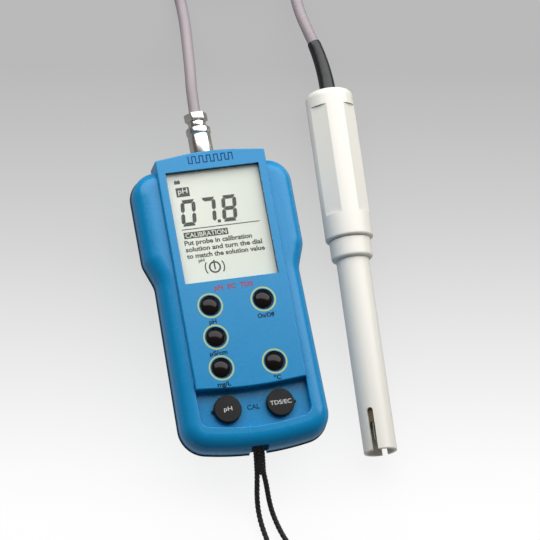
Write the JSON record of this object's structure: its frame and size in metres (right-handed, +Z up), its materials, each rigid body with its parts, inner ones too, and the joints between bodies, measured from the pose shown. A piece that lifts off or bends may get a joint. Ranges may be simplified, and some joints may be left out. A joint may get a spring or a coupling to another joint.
{
  "type": "water quality meter with probe",
  "caption": "Handheld water quality meter with display, round buttons, calibration knobs and wrist strap, and a rod-shaped probe on a lead.",
  "frame": {"origin": "on the resting surface, under the middle of the meter and probe side by side", "axes": "+Z up, out of the display; +Y towards the ends that the lead leaves; +X from the meter towards the probe"},
  "size_m": [0.1207, 0.3948, 0.037],
  "materials": {
    "case_blue": "fine satin moulded plastic",
    "seal_black": "matt",
    "button_black": "polished domes",
    "knob_grey": "matt",
    "window_clear": "clear polished pane",
    "display_grey": "reflective liquid crystal display",
    "inner_plastic": "moulded",
    "soft_rubber": "matt",
    "board_green": "solder resist",
    "chip_black": "moulded",
    "trimmer_blue": "moulded",
    "screw_steel": "plain steel",
    "nickel": "bright nickel plate",
    "contact_gold": "gold flash",
    "battery_jacket": "printed jacket",
    "probe_white": "smooth moulded plastic",
    "electrode_cream": "moulded",
    "electrode_glass": "blown glass",
    "junction_ceramic": "porous",
    "sensor_green": "moulded",
    "boot_black": "moulded rubber",
    "ring_grey": "moulded",
    "lead_grey": "smooth flexible sheath",
    "strap_black": "woven cord"
  },
  "bodies": {
    "root": {"amplifier_board": "board_green", "amplifier_chips": "chip_black", "back_shell": "case_blue", "battery": "battery_jacket", "battery_clip": "chip_black", "board_chips": "chip_black", "boot_ring": "ring_grey", "case_screws": "screw_steel", "clamp_nut": "nickel", "coil_tie": "strap_black", "conductivity_pins": "screw_steel", "contact_strip": "soft_rubber", "display_frame": "inner_plastic", "display_glass": "display_grey", "display_window": "window_clear", "electrode_body": "electrode_cream", "electrode_seals": "soft_rubber", "front_shell": "case_blue", "jack": "nickel", "jack_nut": "nickel", "jack_pins": "contact_gold", "jack_washer": "soft_rubber", "lead_coil": "lead_grey", "lead_meter_side": "lead_grey", "lead_probe_side": "lead_grey", "main_board": "board_green", "ph_electrode": "electrode_glass", "plug_body": "nickel", "probe_collar": "probe_white", "probe_handle": "probe_white", "probe_shaft": "probe_white", "reference_junction": "junction_ceramic", "shell_gasket": "seal_black", "strain_relief": "boot_black", "strap_bar": "screw_steel", "strap_loop": "strap_black", "strap_sleeve": "strap_black", "tact_switches": "chip_black", "temperature_sensor": "sensor_green", "trimmer_conductivity": "trimmer_blue", "trimmer_ph": "trimmer_blue"},
    "button_conductivity": {"button_conductivity": "button_black"},
    "button_dissolved_solids": {"button_dissolved_solids": "button_black"},
    "button_ph": {"button_ph": "button_black"},
    "button_power": {"button_power": "button_black"},
    "button_temperature": {"button_temperature": "button_black"},
    "knob_ph": {"knob_ph": "knob_grey"},
    "knob_conductivity": {"knob_conductivity": "knob_grey"},
    "coupling_nut": {"coupling_nut": "nickel"},
    "battery_door": {"battery_door": "case_blue"}
  },
  "joints": [
    {"name": "button_conductivity_press", "type": "slide", "parent": "root", "child": "button_conductivity", "axis": [0, 0, -1], "range_m": [0, 0.0008], "stiffness_N_per_m": 1500, "springref_m": -0.0002},
    {"name": "button_dissolved_solids_press", "type": "slide", "parent": "root", "child": "button_dissolved_solids", "axis": [0, 0, -1], "range_m": [0, 0.0008], "stiffness_N_per_m": 1500, "springref_m": -0.0002},
    {"name": "button_ph_press", "type": "slide", "parent": "root", "child": "button_ph", "axis": [0, 0, -1], "range_m": [0, 0.0008], "stiffness_N_per_m": 1500, "springref_m": -0.0002},
    {"name": "button_power_press", "type": "slide", "parent": "root", "child": "button_power", "axis": [0, 0, -1], "range_m": [0, 0.0008], "stiffness_N_per_m": 1500, "springref_m": -0.0002},
    {"name": "button_temperature_press", "type": "slide", "parent": "root", "child": "button_temperature", "axis": [0, 0, -1], "range_m": [0, 0.0008], "stiffness_N_per_m": 1500, "springref_m": -0.0002},
    {"name": "knob_ph_turn", "type": "hinge", "parent": "root", "child": "knob_ph", "pos_m": [-0.03395, -0.0643, 0.032], "axis": [0, 0, 1], "range_deg": [-135, 135]},
    {"name": "knob_conductivity_turn", "type": "hinge", "parent": "root", "child": "knob_conductivity", "pos_m": [-0.00815, -0.0643, 0.032], "axis": [0, 0, 1], "range_deg": [-135, 135]},
    {"name": "coupling_nut_turn", "type": "hinge", "parent": "root", "child": "coupling_nut", "pos_m": [-0.02105, 0.072, 0.02], "axis": [0, 1, 0], "range_deg": [0, 360]},
    {"name": "battery_door_slide", "type": "slide", "parent": "root", "child": "battery_door", "axis": [0, -1, 0], "range_m": [0, 0.016]}
  ]
}
